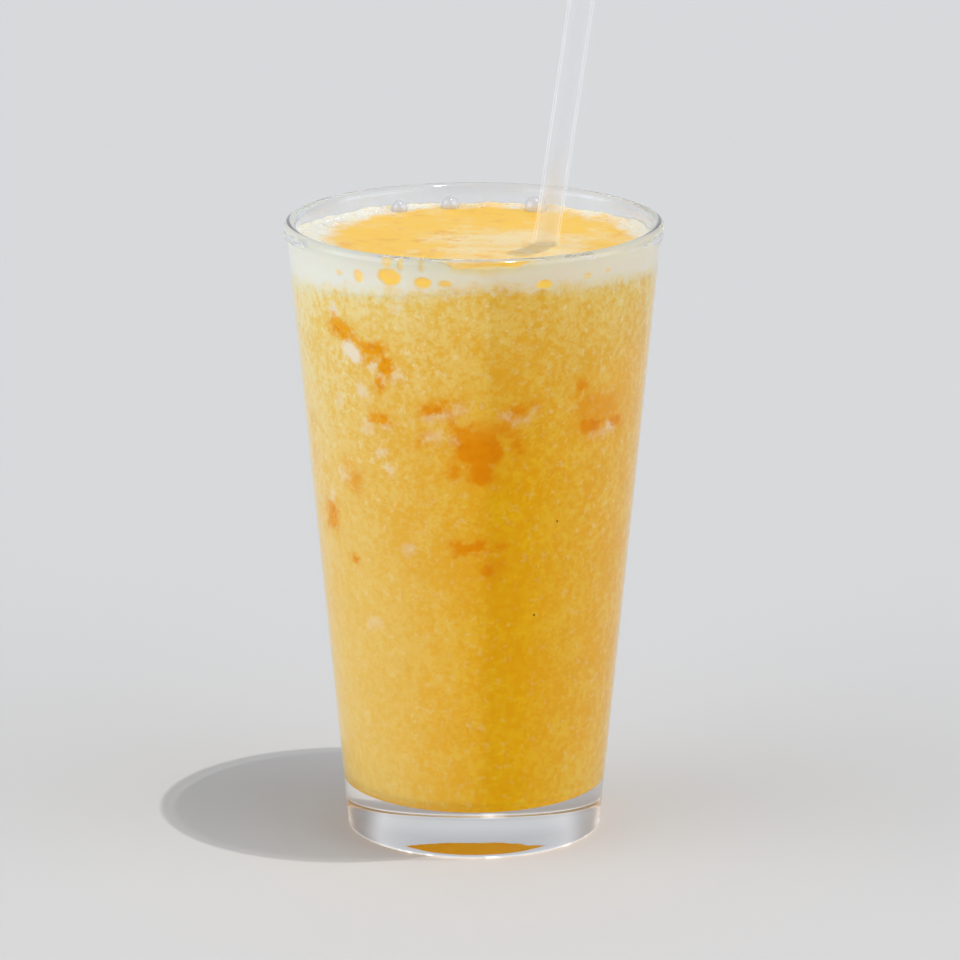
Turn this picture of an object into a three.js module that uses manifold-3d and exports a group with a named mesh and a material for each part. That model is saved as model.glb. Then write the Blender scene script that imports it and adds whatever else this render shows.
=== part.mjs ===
// A conical pint glass of pulpy orange juice, with a head of froth and a clear drinking straw.
// Sizes are in millimetres, +Z is up, and the origin is the middle of the foot that the glass stands on.

import * as THREE from 'three';
import { mergeVertices } from 'three/addons/utils/BufferGeometryUtils.js';
import Module from 'manifold-3d';

const wasm = await Module();
wasm.setup();

// The glass
const GLASS_HEIGHT = 148.5;
const RIM_DIAMETER = 88.9; // where the line of the outer wall reaches the full height
const FOOT_DIAMETER = 60.8; // where the line of the outer wall meets the table
const RIM_WALL = 2.4;
const RIM_BEAD = 0.8; // how far the rim swells out past the line of the outer wall
const BEAD_HEIGHT = 6; // from where the wall begins to swell up to the rim's top
const FLOOR_WALL = 3; // the wall's thickness at the height of the floor inside
const FLOOR_HEIGHT = 11;
const FLOOR_CORNER_RADIUS = 4;
const HEEL_RADIUS = 0.7;
const FOOT_HOLLOW_DIAMETER = 47.4; // a shallow cone with a rounded crown
const FOOT_CROWN_DIAMETER = 24;
const FOOT_HOLLOW_SLOPE = 0.052;

// The drink and its froth
const FIT_GAP = 0.3; // between pieces that touch
const DRINK_LEVEL = 143.3;
const FROTH_DEPTH_MIDDLE = 1.6;
const FROTH_FOOT_HEIGHT = 138; // mean height of the froth's lower edge on the wall
const FROTH_FOOT_WAVES = [
  { lobes: 1, rise: 1.8, peak: 20 },
  { lobes: 2, rise: 1, peak: 15 },
]; // peak is in degrees from the front, towards the right
const COLLAR_WIDTH = 4.6; // froth that climbs the wall
const COLLAR_RISE = 2;
const COLLAR_LIP = 0.9; // the climbing froth's thickness at its top edge
const RIPPLE_HEIGHT = 0.22;

// Domed bubbles on the froth: the angle from +X towards +Y and the distance in from the wall
const BUBBLES = [
  { angle: 117.6, inset: 2.6, radius: 2 },
  { angle: 98.6, inset: 2.7, radius: 2.2 },
  { angle: 67.3, inset: 3.1, radius: 2.6 },
  { angle: 147.9, inset: 2.9, radius: 1.1 },
  { angle: 150.9, inset: 1.9, radius: 1.2 },
  { angle: 154.6, inset: 2.6, radius: 1.3 },
  { angle: 159.7, inset: 2.2, radius: 1 },
  { angle: 154.4, inset: 5, radius: 1 },
];
const BUBBLE_LIFT = 0.35; // how far a bubble's middle stands above the level, as a share of its radius

// The straw, which leans by this much sideways for each millimetre that it rises
const STRAW_DIAMETER = 6;
const STRAW_WALL = 0.5;
const STRAW_LENGTH = 210;
const STRAW_ENTRY = new THREE.Vector3(16.7, -6, DRINK_LEVEL);
const STRAW_LEAN = new THREE.Vector3(0.133, -0.18, 1);
const STRAW_END_GAP = 1.5; // between the straw's lower end and the floor

// Facets
const ROUND_SEGMENTS = 64;
const STRAW_SEGMENTS = 28;
const ARC_STEPS = 3;
const BEAD_STEPS = 4;
const SURFACE_RINGS = 8;
const BUBBLE_SEGMENTS = 12;

const GLASS_TAPER = (RIM_DIAMETER - FOOT_DIAMETER) / 2 / GLASS_HEIGHT;
const outerRadius = (z) => FOOT_DIAMETER / 2 + GLASS_TAPER * z;
const INNER_TAPER = GLASS_TAPER + (FLOOR_WALL - RIM_WALL) / (GLASS_HEIGHT - FLOOR_HEIGHT);
const innerRadius = (z) => outerRadius(GLASS_HEIGHT) - RIM_WALL - INNER_TAPER * (GLASS_HEIGHT - z);

// A profile of radius and height, turned about the vertical axis.
function turned(profile) {
  return new THREE.LatheGeometry(profile, ROUND_SEGMENTS).rotateX(Math.PI / 2);
}

// A closed geometry as a solid for joins and cuts.
function solidFrom(geometry) {
  const bare = new THREE.BufferGeometry();
  bare.setAttribute('position', geometry.getAttribute('position'));
  bare.setIndex(geometry.getIndex());
  const merged = mergeVertices(bare, 1e-3);
  const corners = merged.getIndex().array;
  const triangles = [];
  for (let i = 0; i < corners.length; i += 3) {
    const [a, b, c] = corners.slice(i, i + 3);
    if (a !== b && b !== c && c !== a) triangles.push(a, b, c);
  }
  return new wasm.Manifold(
    new wasm.Mesh({
      numProp: 3,
      vertProperties: Float32Array.from(merged.getAttribute('position').array),
      triVerts: Uint32Array.from(triangles),
    }),
  );
}

function geometryFrom(solid) {
  const { vertProperties, triVerts } = solid.getMesh();
  const geometry = new THREE.BufferGeometry();
  geometry.setAttribute('position', new THREE.BufferAttribute(vertProperties, 3));
  geometry.setIndex(new THREE.BufferAttribute(triVerts, 1));
  geometry.computeVertexNormals();
  return geometry;
}

// The centre of an arc that lies inside a sloping wall and touches it.
function arcCentre(wallRadius, taper, height, arcRadius) {
  return wallRadius(height) - arcRadius * Math.hypot(1, taper);
}

// The inside of the glass, a gap away from its walls, from the axis to the wall at a height.
function cavityProfile(gap, top) {
  const corner = FLOOR_CORNER_RADIUS - gap;
  const height = FLOOR_HEIGHT + FLOOR_CORNER_RADIUS;
  const middle = arcCentre(innerRadius, INNER_TAPER, height, FLOOR_CORNER_RADIUS);
  const profile = new THREE.Path();
  profile.moveTo(0, FLOOR_HEIGHT + gap);
  profile.lineTo(middle, FLOOR_HEIGHT + gap);
  profile.absarc(middle, height, corner, -Math.PI / 2, -Math.atan(INNER_TAPER));
  profile.lineTo(innerRadius(top) - gap, top);
  return profile;
}

// The beaded rim: the outer wall's swell, then a half round over the top to the inner wall.
function rimProfile(rimRadius, rimHeight) {
  const start = GLASS_HEIGHT - BEAD_HEIGHT;
  const swell = Array.from({ length: BEAD_STEPS }, (_, i) => {
    const z = THREE.MathUtils.lerp(start, rimHeight, i / BEAD_STEPS);
    return new THREE.Vector2(outerRadius(z) + RIM_BEAD * THREE.MathUtils.smoothstep(z, start, rimHeight), z);
  });
  const crest = new THREE.Path();
  crest.absarc(innerRadius(rimHeight) + rimRadius, rimHeight, rimRadius, 0, Math.PI);
  return [...swell, ...crest.getPoints(ARC_STEPS)];
}

// Outer wall, beaded rim, inner wall and thick floor, with a shallow conical hollow under the foot.
function glassGeometry() {
  const lean = Math.atan(GLASS_TAPER);
  const heel = arcCentre(outerRadius, GLASS_TAPER, HEEL_RADIUS, HEEL_RADIUS);
  const rimRadius = (RIM_WALL + RIM_BEAD) / 2;
  const rimHeight = GLASS_HEIGHT - rimRadius;
  const [hollow, crown] = [FOOT_HOLLOW_DIAMETER / 2, FOOT_CROWN_DIAMETER / 2];
  const coneHeight = (hollow - crown) * FOOT_HOLLOW_SLOPE;
  const crownHeight = coneHeight + (crown / 2) * FOOT_HOLLOW_SLOPE;
  const outline = new THREE.Path();
  outline.moveTo(0, crownHeight);
  outline.quadraticCurveTo(crown / 2, crownHeight, crown, coneHeight);
  outline.lineTo(hollow, 0);
  outline.lineTo(heel, 0);
  outline.absarc(heel, HEEL_RADIUS, HEEL_RADIUS, -Math.PI / 2, -lean);
  const inside = cavityProfile(0, rimHeight - RIM_WALL).getPoints(ARC_STEPS).reverse();
  return turned([...outline.getPoints(ARC_STEPS), ...rimProfile(rimRadius, rimHeight), ...inside]);
}

// The height of the froth's lower edge on the wall, at an angle from +X towards +Y.
function frothFoot(angle) {
  const fromFront = angle + Math.PI / 2;
  const waves = FROTH_FOOT_WAVES.map(
    ({ lobes, rise, peak }) => rise * Math.cos(lobes * (fromFront - THREE.MathUtils.degToRad(peak))),
  );
  return waves.reduce((sum, wave) => sum + wave, FROTH_FOOT_HEIGHT);
}

// The froth's underside, thin in the middle and deeper at the wall.
function frothUnderside(radius, angle) {
  const share = THREE.MathUtils.smoothstep(radius, 0, innerRadius(FROTH_FOOT_HEIGHT));
  return THREE.MathUtils.lerp(DRINK_LEVEL - FROTH_DEPTH_MIDDLE, frothFoot(angle), share ** 3);
}

// Low, uneven swells on the froth's top, which die out at the axis and at the wall.
function ripple(radius, angle) {
  const across = Math.sin(radius / 4.1 + 1.7 * Math.sin(2 * angle)) * Math.sin(radius / 7.3 - 3 * angle);
  const fade = Math.sin((Math.PI * radius) / innerRadius(DRINK_LEVEL));
  return RIPPLE_HEIGHT * across * fade;
}

// Moves the height of each vertex by a rule of its radius, its angle and its height.
function reshaped(geometry, rule) {
  const position = geometry.getAttribute('position');
  for (let i = 0; i < position.count; i++) {
    const [x, y, z] = [position.getX(i), position.getY(i), position.getZ(i)];
    position.setZ(i, rule(Math.hypot(x, y), Math.atan2(y, x), z));
  }
  return geometry;
}

// The radii of the rings that the drink's top and the froth's faces share, from the wall to the axis.
function ringRadii(wall) {
  return Array.from({ length: SURFACE_RINGS + 1 }, (_, i) => wall * (1 - i / SURFACE_RINGS));
}

// Turns the straw's own Z axis into its lean, with its lower end just clear of the floor.
function strawPlace() {
  const along = STRAW_LEAN.clone().normalize();
  const sink = Math.hypot(along.x, along.y) * (STRAW_DIAMETER / 2);
  const end = FLOOR_HEIGHT + STRAW_END_GAP + sink;
  const place = new THREE.Object3D();
  place.position.copy(STRAW_ENTRY).addScaledVector(STRAW_LEAN, end - DRINK_LEVEL);
  place.quaternion.setFromUnitVectors(new THREE.Vector3(0, 0, 1), along);
  place.updateMatrix();
  return place;
}

// A round bar along the straw's axis, from a distance above its lower end.
function strawBar(radius, from, to) {
  const bar = new THREE.CylinderGeometry(radius, radius, to - from, STRAW_SEGMENTS).rotateX(Math.PI / 2);
  bar.translate(0, 0, (from + to) / 2);
  return solidFrom(bar.applyMatrix4(strawPlace().matrix));
}

function strawGeometry() {
  const [outside, bore] = [STRAW_DIAMETER / 2, STRAW_DIAMETER / 2 - STRAW_WALL];
  const wall = [
    new THREE.Vector2(bore, 0),
    new THREE.Vector2(outside, 0),
    new THREE.Vector2(outside, STRAW_LENGTH),
    new THREE.Vector2(bore, STRAW_LENGTH),
    new THREE.Vector2(bore, 0),
  ];
  return new THREE.LatheGeometry(wall, STRAW_SEGMENTS).rotateX(Math.PI / 2);
}

// The drink under the froth, cut round the straw, with the column that stands in the straw's bore.
function juiceGeometry() {
  const wall = innerRadius(FROTH_FOOT_HEIGHT) - FIT_GAP;
  const profile = cavityProfile(FIT_GAP, FLOOR_HEIGHT + FLOOR_CORNER_RADIUS * 2).getPoints(ARC_STEPS);
  for (const radius of ringRadii(wall)) profile.push(new THREE.Vector2(radius, FROTH_FOOT_HEIGHT));
  const body = reshaped(turned(profile), (radius, angle, z) =>
    z < FROTH_FOOT_HEIGHT ? z : frothUnderside(radius, angle) - FIT_GAP,
  );
  const level = cavityProfile(FIT_GAP, DRINK_LEVEL).getPoints(ARC_STEPS);
  const cavity = solidFrom(turned([...level, new THREE.Vector2(0, DRINK_LEVEL)]));
  const bore = STRAW_DIAMETER / 2 - STRAW_WALL;
  const column = strawBar(bore - FIT_GAP, -2 * FIT_GAP, STRAW_LENGTH).intersect(cavity);
  const hole = strawBar(STRAW_DIAMETER / 2 + FIT_GAP, -FIT_GAP, STRAW_LENGTH);
  return geometryFrom(solidFrom(body).subtract(hole).add(column));
}

// A layer that runs right across the drink and climbs the wall, with its bubbles, cut round the straw.
function frothGeometry() {
  const wall = innerRadius(FROTH_FOOT_HEIGHT) - FIT_GAP;
  const collarTop = DRINK_LEVEL + COLLAR_RISE;
  const rim = innerRadius(collarTop) - FIT_GAP;
  const under = ringRadii(wall).reverse();
  const collar = new THREE.Path();
  collar.moveTo(rim, collarTop);
  collar.lineTo(rim - COLLAR_LIP, collarTop);
  collar.quadraticCurveTo(rim - COLLAR_LIP, DRINK_LEVEL, rim - COLLAR_WIDTH, DRINK_LEVEL);
  const profile = [
    ...under.map((radius) => new THREE.Vector2(radius, FROTH_FOOT_HEIGHT)),
    ...collar.getPoints(ARC_STEPS),
    ...ringRadii(rim - COLLAR_WIDTH).slice(1).map((radius) => new THREE.Vector2(radius, DRINK_LEVEL)),
  ];
  const layer = reshaped(turned(profile), (radius, angle, z) =>
    z < DRINK_LEVEL - FROTH_DEPTH_MIDDLE ? frothUnderside(radius, angle) : z + ripple(radius, angle),
  );
  const bubbles = BUBBLES.map(({ angle, inset, radius }) => {
    const turn = THREE.MathUtils.degToRad(angle);
    const distance = innerRadius(DRINK_LEVEL) - inset;
    const height = DRINK_LEVEL + radius * BUBBLE_LIFT;
    const ball = new THREE.SphereGeometry(radius, BUBBLE_SEGMENTS, BUBBLE_SEGMENTS / 2);
    ball.rotateX(Math.PI / 2).translate(distance * Math.cos(turn), distance * Math.sin(turn), height);
    return solidFrom(ball);
  });
  const hole = strawBar(STRAW_DIAMETER / 2 + FIT_GAP, 0, STRAW_LENGTH);
  return geometryFrom(bubbles.reduce((sum, bubble) => sum.add(bubble), solidFrom(layer)).subtract(hole));
}

function piece(name, geometry, look) {
  const mesh = new THREE.Mesh(geometry, new THREE.MeshStandardMaterial({ metalness: 0, ...look }));
  mesh.name = name;
  return mesh;
}

const drink = new THREE.Group();
const clear = { transparent: true, opacity: 0.35 };
drink.add(piece('tumbler', glassGeometry(), { color: '#dfe4e6', roughness: 0.03, ...clear }));
drink.add(piece('juice', juiceGeometry(), { color: '#dda233', roughness: 0.35 }));
drink.add(piece('froth', frothGeometry(), { color: '#f3dba0', roughness: 0.45 }));

const leaning = strawPlace();
leaning.add(piece('straw', strawGeometry(), { color: '#eceef0', roughness: 0.2, ...clear }));
drink.add(leaning);

export default drink;
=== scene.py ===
"""A conical glass of pulpy orange juice with froth, bubbles and a clear straw, dressed over its solids.

Lengths are in metres, in the frame's own axes: +Z is up, and the viewer stands on the -Y side.
An azimuth is in degrees from the front of the glass, towards the viewer's right.
"""

import math

import bmesh
import bpy
import numpy as np
from mathutils import Matrix, Vector


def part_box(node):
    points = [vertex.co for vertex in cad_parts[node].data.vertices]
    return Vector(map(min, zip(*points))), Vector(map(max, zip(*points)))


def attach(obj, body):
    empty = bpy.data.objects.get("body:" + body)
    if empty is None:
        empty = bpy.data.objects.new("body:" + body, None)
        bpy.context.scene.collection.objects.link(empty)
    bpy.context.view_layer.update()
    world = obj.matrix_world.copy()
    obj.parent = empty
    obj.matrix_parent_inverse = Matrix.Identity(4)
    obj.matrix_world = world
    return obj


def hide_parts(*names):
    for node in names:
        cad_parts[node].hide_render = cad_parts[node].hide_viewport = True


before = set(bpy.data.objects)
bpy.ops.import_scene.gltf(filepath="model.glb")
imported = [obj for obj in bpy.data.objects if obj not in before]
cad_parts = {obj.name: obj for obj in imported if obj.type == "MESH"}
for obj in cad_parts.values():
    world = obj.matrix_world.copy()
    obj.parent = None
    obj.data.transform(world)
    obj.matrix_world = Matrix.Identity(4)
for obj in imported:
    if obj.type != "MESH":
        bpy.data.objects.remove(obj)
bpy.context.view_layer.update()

MM = 0.001
SEED = 11

# The glass
GLASS_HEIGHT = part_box("tumbler")[1][2]
RIM_RADIUS = 44.45 * MM
FOOT_RADIUS = 30.4 * MM
RIM_WALL = 2.4 * MM
RIM_BEAD = 0.8 * MM  # how far the rim swells out past the line of the outer wall
BEAD_HEIGHT = 6 * MM
FLOOR_WALL = 3 * MM
FLOOR_HEIGHT = 11 * MM
FLOOR_CORNER_RADIUS = 4 * MM
HEEL_RADIUS = 0.7 * MM
FOOT_HOLLOW_RADIUS = 23.7 * MM
FOOT_CROWN_RADIUS = 12 * MM
FOOT_HOLLOW_SLOPE = 0.052
GLASS_IOR = 1.5
GLASS_SEGMENTS = 192
CORNER_STEPS = 10
WALL_STEPS = 8
SEAM = 1e-6  # points nearer than this are one

# The drink, which reaches a little way into the wall so that no air shows between them
DRINK_LEVEL = 143.3 * MM
JUICE_REACH = 0.12 * MM
FROTH_REACH = 0.16 * MM
FROTH_DEPTH_MIDDLE = 1.6 * MM
FROTH_FOOT_HEIGHT = 138 * MM
FROTH_OVERLAP = 1.5 * MM
FROTH_LIP = 0.35 * MM

# The straw
STRAW_RADIUS = 3 * MM
STRAW_WALL = 0.5 * MM
STRAW_LENGTH = 210 * MM
STRAW_ENTRY = Vector((16.7, -6, 143.3)) * MM
STRAW_LEAN = Vector((0.133, -0.18, 1))
STRAW_LOWEST = 12.5 * MM

# The photo's view
VIEW_TARGET = Vector((1.43, 0, 85.07)) * MM
VIEW_DISTANCE = 1.3
VIEW_ELEVATION = math.radians(14.81)
VIEW_LENS = 204.27
VIEW_SENSOR = 36
VIEW_UP = Vector((0, math.sin(VIEW_ELEVATION), math.cos(VIEW_ELEVATION)))
VIEW_EYE = VIEW_TARGET + VIEW_DISTANCE * Vector((0, -math.cos(VIEW_ELEVATION), math.sin(VIEW_ELEVATION)))
PHOTO_SIDE = 960  # pixels
PHOTO_PIXEL = VIEW_SENSOR / VIEW_LENS * VIEW_DISTANCE / PHOTO_SIDE  # what a pixel covers at the target

GLASS_TAPER = (RIM_RADIUS - FOOT_RADIUS) / GLASS_HEIGHT
INNER_TAPER = GLASS_TAPER + (FLOOR_WALL - RIM_WALL) / (GLASS_HEIGHT - FLOOR_HEIGHT)
RIM_ROUND = (RIM_WALL + RIM_BEAD) / 2  # radius of the half round over the rim
HIDDEN_SIDE = (85, 275)  # azimuths that the front view doesn't show


def outer_radius(height):
    return FOOT_RADIUS + GLASS_TAPER * height


def inner_radius(height):
    return RIM_RADIUS - RIM_WALL - INNER_TAPER * (GLASS_HEIGHT - height)


def paint(red, green, blue):
    """A colour as a screen shows it, from 0 to 255, as the linear colour that shaders use."""
    screen = [part / 255 for part in (red, green, blue)]
    linear = [part / 12.92 if part <= 0.04045 else ((part + 0.055) / 1.055) ** 2.4 for part in screen]
    return (*linear, 1)


# Helpers for node trees, which find the tree from the outputs that they are given

# The sockets of a Mix node that blends colours
MIX_FACTOR, MIX_FIRST, MIX_SECOND, MIX_RESULT = 0, 6, 7, 2


def is_socket(value):
    return isinstance(value, bpy.types.NodeSocket)


def fill(sockets, values):
    """Sets sockets to plain values, or links them to other nodes' outputs."""
    for key, value in values.items():
        if is_socket(value):
            value.id_data.links.new(value, sockets[key])
        else:
            sockets[key].default_value = value


def add(tree, kind, inputs=None, **settings):
    """Adds a node with its settings, and fills its inputs."""
    made = tree.nodes.new(kind)
    for key, value in settings.items():
        setattr(made, key, value)
    fill(made.inputs, inputs or {})
    return made


def follow(kind, inputs, **settings):
    """Adds a node to the tree of the first output that goes into it."""
    tree = next(value.id_data for value in inputs.values() if is_socket(value))
    return add(tree, kind, inputs, **settings)


def calculate(operation, *values):
    return follow("ShaderNodeMath", dict(enumerate(values)), operation=operation).outputs[0]


def times(result, *values):
    for value in values:
        result = calculate("MULTIPLY", result, value)
    return result


def total(result, *values):
    for value in values:
        result = calculate("ADD", result, value)
    return result


def measure(operation, *vectors):
    """One number from vectors, such as the distance between two."""
    return follow("ShaderNodeVectorMath", dict(enumerate(vectors)), operation=operation).outputs["Value"]


def coordinate(place, axis):
    return follow("ShaderNodeSeparateXYZ", {0: place}).outputs[axis]


def blend_colours(factor, first, second):
    inputs = {MIX_FACTOR: factor, MIX_FIRST: first, MIX_SECOND: second}
    return follow("ShaderNodeMix", inputs, data_type="RGBA").outputs[MIX_RESULT]


def fade(value, low, high, to_low=0.0, to_high=1.0):
    """A smooth step from to_low to to_high as a value goes from low to high."""
    inputs = {"Value": value, "From Min": low, "From Max": high, "To Min": to_low, "To Max": to_high}
    return follow("ShaderNodeMapRange", inputs, interpolation_type="SMOOTHSTEP").outputs[0]


def attribute(tree, name):
    return add(tree, "ShaderNodeAttribute", attribute_name=name).outputs["Fac"]


def noise(place, size, detail=2.0, roughness=0.5):
    """Soft noise whose blobs are about this many metres across."""
    inputs = {"Vector": place, "Scale": 1 / size, "Detail": detail, "Roughness": roughness}
    return follow("ShaderNodeTexNoise", inputs).outputs["Fac"]


def wander(place, size, reach):
    """Noise that moves an edge by up to about this many metres to either side."""
    return calculate("MULTIPLY_ADD", noise(place, size, roughness=0.6), 4 * reach, -2 * reach)


def node_group(name, kind, inputs, outputs):
    """A tree of this kind with these named inputs and outputs."""
    tree = bpy.data.node_groups.new(name, kind)
    for way, sockets in (("INPUT", inputs), ("OUTPUT", outputs)):
        for label, value in sockets.items():
            tree.interface.new_socket(label, in_out=way, socket_type="NodeSocket" + value)
    return tree, add(tree, "NodeGroupInput").outputs, add(tree, "NodeGroupOutput").inputs


def new_material(name):
    """A material with an empty tree that holds its output, its Principled shader and its object place."""
    material = bpy.data.materials.new(name)
    material.use_nodes = True
    material.cycles.emission_sampling = "NONE"  # what glows here is no lamp
    tree = material.node_tree
    tree.nodes.clear()
    surface = add(tree, "ShaderNodeBsdfPrincipled")
    add(tree, "ShaderNodeOutputMaterial", {"Surface": surface.outputs[0]})
    place = add(tree, "ShaderNodeTexCoord").outputs["Object"]
    return material, tree, surface, place


def glow(surface, share, colour):
    """A painted glow: emission that stands in for light that has come through the drink or the glass from
    behind, as this share of a colour.
    """
    scaled = follow("ShaderNodeVectorMath", {0: colour[:3], "Scale": share}, operation="SCALE")
    fill(surface.inputs, {"Emission Color": scaled.outputs["Vector"], "Emission Strength": 1.0})


def let_lamps_through(surface, colour):
    """Rays from lamps pass straight through, tinted, so what lies behind is lit."""
    tree = surface.id_data
    lamps = add(tree, "ShaderNodeLightPath").outputs["Is Shadow Ray"]
    through = add(tree, "ShaderNodeBsdfTransparent", {"Color": colour})
    mix = add(tree, "ShaderNodeMixShader", {0: lamps, 1: surface.outputs[0], 2: through.outputs[0]})
    fill(tree.nodes["Material Output"].inputs, {"Surface": mix.outputs[0]})


# Helpers for meshes


def link(name, data):
    made = bpy.data.objects.new(name, data)
    bpy.context.collection.objects.link(made)
    return made


def new_object(name, mesh, material):
    made = link(name, mesh)
    mesh.materials.clear()
    mesh.materials.append(material)
    return made


def closed_skin(name, grid):
    """A closed mesh from rows of points round the axis. The first and the last row are one point each."""
    rows, columns = grid.shape[:2]
    points = np.concatenate([grid[0, :1], grid[1:-1].reshape(-1, 3), grid[-1, :1]])
    ring = 1 + np.arange((rows - 2) * columns).reshape(rows - 2, columns)
    beside = np.roll(ring, -1, axis=1)
    quads = np.stack([ring[:-1], beside[:-1], beside[1:], ring[1:]], axis=-1).reshape(-1, 4)
    last = len(points) - 1
    below = [(0, int(right), int(left)) for left, right in zip(ring[0], beside[0])]
    above = [(int(left), int(right), last) for left, right in zip(ring[-1], beside[-1])]
    mesh = bpy.data.meshes.new(name)
    mesh.from_pydata(points.tolist(), [], [*below, *quads.tolist(), *above])
    mesh.shade_smooth()
    return mesh


def closed_band(name, grid):
    """A closed ring from rows of points that run round the axis, where the last row meets the first."""
    rows, columns = grid.shape[:2]
    ring = np.arange(rows * columns).reshape(rows, columns)
    beside, next_row = np.roll(ring, -1, axis=1), np.roll(ring, -1, axis=0)
    quads = np.stack([ring, beside, np.roll(beside, -1, axis=0), next_row], axis=-1).reshape(-1, 4)
    mesh = bpy.data.meshes.new(name)
    mesh.from_pydata(grid.reshape(-1, 3).tolist(), [], quads.tolist())
    mesh.shade_smooth()
    return mesh


def set_attributes(mesh, **named):
    """Gives each point of a mesh its value under each of these names."""
    for name, values in named.items():
        data = mesh.attributes.new(name, "FLOAT", "POINT").data
        data.foreach_set("value", np.asarray(values, dtype=np.float32))


def mesh_points(mesh):
    flat = np.empty(len(mesh.vertices) * 3, dtype=np.float32)
    mesh.vertices.foreach_get("co", flat)
    return flat.reshape(-1, 3).astype(float)


def azimuths(points):
    return np.degrees(np.arctan2(points[..., 0], -points[..., 1]))


def ring_points(radius, azimuth, height):
    turn = np.radians(azimuth)
    return np.stack([radius * np.sin(turn), -radius * np.cos(turn), height + 0 * turn], axis=-1)


def turn_between(azimuth, other):
    """The angle from one azimuth to another, the short way round."""
    return (azimuth - other + 180) % 360 - 180


def hump(azimuth, middle, width):
    """1 at its middle, falling off smoothly over about this many degrees to both sides."""
    return np.exp(-((turn_between(azimuth, middle) / width) ** 2))


def leftness(azimuth):
    return np.clip(-np.sin(np.radians(azimuth - 8)), 0, 1)


def backness(azimuth):
    return 0.5 - 0.5 * np.cos(np.radians(azimuth))


# Geometry Nodes


def geometry_tree(name, sizes):
    """A tree with a geometry input and output, and one named input for each size."""
    shape = {"Geometry": "Geometry"}
    return node_group(name, "GeometryNodeTree", {**shape, **sizes}, shape)


def finish_tree(given, result, shape):
    """Ends a tree: smooth shading, real meshes and the material."""
    smooth = follow("GeometryNodeSetShadeSmooth", {"Geometry": shape})
    real = follow("GeometryNodeRealizeInstances", {"Geometry": smooth.outputs[0]})
    made = follow("GeometryNodeSetMaterial", {"Geometry": real.outputs[0], "Material": given["Material"]})
    fill(result, {0: made.outputs[0]})


def grown(name, base, tree, sizes, material):
    """The plain mesh object that a tree makes from a base mesh with these sizes."""
    source = new_object(name + "_source", base, material)
    modifier = source.modifiers.new("shape", "NODES")
    modifier.node_group = tree
    sockets = {s.name: s.identifier for s in tree.interface.items_tree if s.in_out == "INPUT"}
    for label, value in {**sizes, "Material": material}.items():
        modifier[sockets[label]] = value
    seen = source.evaluated_get(bpy.context.evaluated_depsgraph_get())
    mesh = bpy.data.meshes.new_from_object(seen)
    source.modifiers.remove(modifier)
    bpy.data.objects.remove(source)
    mesh.name = name
    return new_object(name, mesh, material)


def turning_tree():
    """Rounds the corners of a profile of radius and height, and turns it about the vertical axis."""
    sizes = {"Spindle": "Float", "Segments": "Int", "Corner Steps": "Int", "Material": "Material"}
    tree, given, result = geometry_tree("turned_profile", sizes)
    line = follow("GeometryNodeMeshToCurve", {"Mesh": given["Geometry"]})
    corner = add(tree, "GeometryNodeInputNamedAttribute", {"Name": "corner_radius"}, data_type="FLOAT")
    rounding = {
        "Curve": line.outputs[0],
        "Count": given["Corner Steps"],
        "Radius": corner.outputs["Attribute"],
        "Limit Radius": True,
    }
    rounded = follow("GeometryNodeFilletCurve", rounding, mode="POLY")
    shift = follow("ShaderNodeCombineXYZ", {"X": times(given["Spindle"], -1.0)})
    upright = {"Geometry": rounded.outputs[0], "Translation": shift.outputs[0], "Scale": (1, -1, 1)}
    profile = follow("GeometryNodeTransform", upright)
    around = {"Resolution": given["Segments"], "Radius": given["Spindle"]}
    circle = follow("GeometryNodeCurvePrimitiveCircle", around, mode="RADIUS")
    sweep = {"Curve": circle.outputs[0], "Profile Curve": profile.outputs[0]}
    swept = follow("GeometryNodeCurveToMesh", sweep)
    whole = follow("GeometryNodeMergeByDistance", {"Geometry": swept.outputs[0], "Distance": SEAM})
    finish_tree(given, result, whole.outputs[0])
    return tree


def turned(name, corners, segments, material, closed=False):
    """A solid of revolution. Each corner is its radius, its height and the radius that rounds it."""
    profile = bpy.data.meshes.new(name + "_profile")
    edges = [(i, i + 1) for i in range(len(corners) - 1)]
    if closed:
        edges.append((len(corners) - 1, 0))
    profile.from_pydata([(radius, height, 0) for radius, height, _ in corners], edges, [])
    set_attributes(profile, corner_radius=[rounding for _, _, rounding in corners])
    sizes = {"Spindle": 1 * MM, "Segments": segments, "Corner Steps": CORNER_STEPS}
    made = grown(name, profile, TURNING, sizes, material)
    face_outwards(made.data)
    return made


def face_outwards(mesh):
    shell = bmesh.new()
    shell.from_mesh(mesh)
    bmesh.ops.recalc_face_normals(shell, faces=shell.faces)
    shell.to_mesh(mesh)
    shell.free()


TURNING = turning_tree()


# The glass


GLASS_CLEAR = (0.99, 0.995, 0.995, 1)
# The rim's grey is partly the tint of thick glass and partly painted shade for the dark that its ends show
GLASS_RIM_TINT_AND_SHADE = (0.95, 0.955, 0.96, 1)
GLASS_BASE = (0.99, 0.962, 0.93, 1)
HEEL_LIGHT = (0.4, 0.39, 0.38, 1)
LAMPS_BELOW_RIM = (0.72, 0.725, 0.725, 1)  # what the wall lets through of a lamp's light
LAMPS_AT_RIM = (0.3, 0.3, 0.3, 1)
FOOT_RIPPLE_SIZE = 4 * MM
FOOT_RIPPLE_DEPTH = 0.012 * MM


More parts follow.
